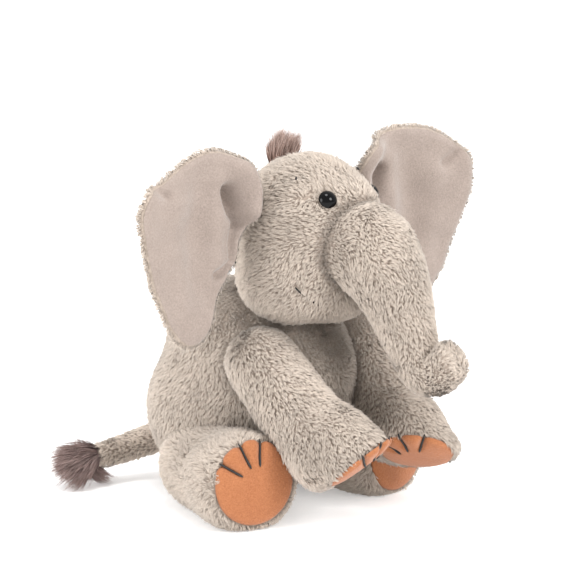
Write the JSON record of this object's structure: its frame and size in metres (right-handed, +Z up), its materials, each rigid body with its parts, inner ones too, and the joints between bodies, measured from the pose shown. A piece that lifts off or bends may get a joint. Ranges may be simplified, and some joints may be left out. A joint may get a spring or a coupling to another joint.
{
  "type": "stuffed elephant",
  "caption": "Seated plush elephant with big velour-lined ears, a curled trunk, splayed legs with orange velour soles, a crown tuft and a tufted tail",
  "frame": {"origin": "middle of the flat seat panel that the toy sits on", "axes": "+Z up, -Y the way the toy faces, +X towards its own left"},
  "size_m": [0.2407, 0.242, 0.2106],
  "materials": {
    "plush": "warm grey long-nap plush, 5 mm pile",
    "long_pile": "brown-grey long-pile fur",
    "orange_velour": "orange short-pile velour",
    "ear_velour": "pinkish grey short-pile velour",
    "thread": "black embroidery thread",
    "fibre": "white polyester fibre stuffing",
    "eye": "polished black plastic",
    "washer": "white plastic lock washer",
    "pellet_cloth": "thin woven inner bag",
    "pellets": "loose plastic pellets as one solid"
  },
  "bodies": {
    "torso": {"body_panel_left": "plush", "body_panel_right": "plush", "base_panel": "plush", "body_stuffing": "fibre", "pellet_bag": "pellet_cloth", "pellet_fill": "pellets"},
    "neck": {"neck_stuffing": "fibre"},
    "head": {"face_panel_left": "plush", "face_panel_right": "plush", "head_back_panel": "plush", "head_stuffing": "fibre", "eye_left": "eye", "eye_washer_left": "washer", "eye_right": "eye", "eye_washer_right": "washer", "mouth_stitch": "thread", "brow_stitches": "thread", "crown_tuft": "long_pile"},
    "trunk": {"trunk_panel_left": "plush", "trunk_panel_right": "plush", "trunk_stuffing": "fibre"},
    "trunk_tip": {"trunk_tip_panel_left": "plush", "trunk_tip_panel_right": "plush", "trunk_tip_stuffing": "fibre"},
    "tail": {"tail_skin": "plush", "tail_stuffing": "fibre", "tail_tuft": "long_pile"},
    "ear_left": {"ear_left_back": "plush", "ear_left_lining": "ear_velour"},
    "arm_left": {"arm_left_panel_top": "plush", "arm_left_panel_under": "plush", "arm_left_stuffing": "fibre", "arm_left_sole": "orange_velour", "arm_left_toe_stitches": "thread"},
    "leg_left": {"leg_left_panel_top": "plush", "leg_left_panel_under": "plush", "leg_left_stuffing": "fibre", "leg_left_sole": "orange_velour", "leg_left_toe_stitches": "thread"},
    "ear_right": {"ear_right_back": "plush", "ear_right_lining": "ear_velour"},
    "arm_right": {"arm_right_panel_top": "plush", "arm_right_panel_under": "plush", "arm_right_stuffing": "fibre", "arm_right_sole": "orange_velour", "arm_right_toe_stitches": "thread"},
    "leg_right": {"leg_right_panel_top": "plush", "leg_right_panel_under": "plush", "leg_right_stuffing": "fibre", "leg_right_sole": "orange_velour", "leg_right_toe_stitches": "thread"}
  },
  "joints": [
    {"name": "neck_turn", "type": "hinge", "parent": "torso", "child": "neck", "pos_m": [0, -0.03, 0.138], "axis": [0, 0, 1], "range_deg": [-8, 8], "stiffness_Nm_per_rad": 0.4},
    {"name": "head_nod", "type": "hinge", "parent": "neck", "child": "head", "pos_m": [0, -0.03, 0.138], "axis": [1, 0, 0], "range_deg": [-10, 6], "stiffness_Nm_per_rad": 1},
    {"name": "trunk_lift", "type": "hinge", "parent": "head", "child": "trunk", "pos_m": [0, -0.062, 0.15], "axis": [1, 0, 0], "range_deg": [-18, 4], "stiffness_Nm_per_rad": 0.4},
    {"name": "trunk_curl", "type": "hinge", "parent": "trunk", "child": "trunk_tip", "pos_m": [0, -0.109, 0.099], "axis": [1, 0, 0], "range_deg": [-25, 10], "stiffness_Nm_per_rad": 0.12},
    {"name": "ear_left_flap", "type": "hinge", "parent": "head", "child": "ear_left", "pos_m": [0.042, -0.03, 0.156], "axis": [-0.1115, 0, 0.9938], "range_deg": [-14, 14], "stiffness_Nm_per_rad": 0.05},
    {"name": "ear_right_flap", "type": "hinge", "parent": "head", "child": "ear_right", "pos_m": [-0.042, -0.03, 0.156], "axis": [0.1115, 0, 0.9938], "range_deg": [-14, 14], "stiffness_Nm_per_rad": 0.05},
    {"name": "arm_left_swing", "type": "hinge", "parent": "torso", "child": "arm_left", "pos_m": [0.036, -0.036, 0.09], "axis": [-0.6, 0, 0.8], "range_deg": [0, 28], "stiffness_Nm_per_rad": 0.2},
    {"name": "arm_right_swing", "type": "hinge", "parent": "torso", "child": "arm_right", "pos_m": [-0.036, -0.036, 0.09], "axis": [-0.6, 0, -0.8], "range_deg": [0, 28], "stiffness_Nm_per_rad": 0.2},
    {"name": "leg_left_splay", "type": "hinge", "parent": "torso", "child": "leg_left", "pos_m": [0.046, 0.003, 0.0234], "axis": [0, 0, 1], "range_deg": [0, 16], "stiffness_Nm_per_rad": 0.3},
    {"name": "leg_right_splay", "type": "hinge", "parent": "torso", "child": "leg_right", "pos_m": [-0.041, 0.005, 0.0234], "axis": [0, 0, 1], "range_deg": [-16, 6], "stiffness_Nm_per_rad": 0.3},
    {"name": "tail_swing", "type": "hinge", "parent": "torso", "child": "tail", "pos_m": [-0.003, 0.061, 0.03], "axis": [0, 0, 1], "range_deg": [-20, 20], "stiffness_Nm_per_rad": 0.05}
  ]
}
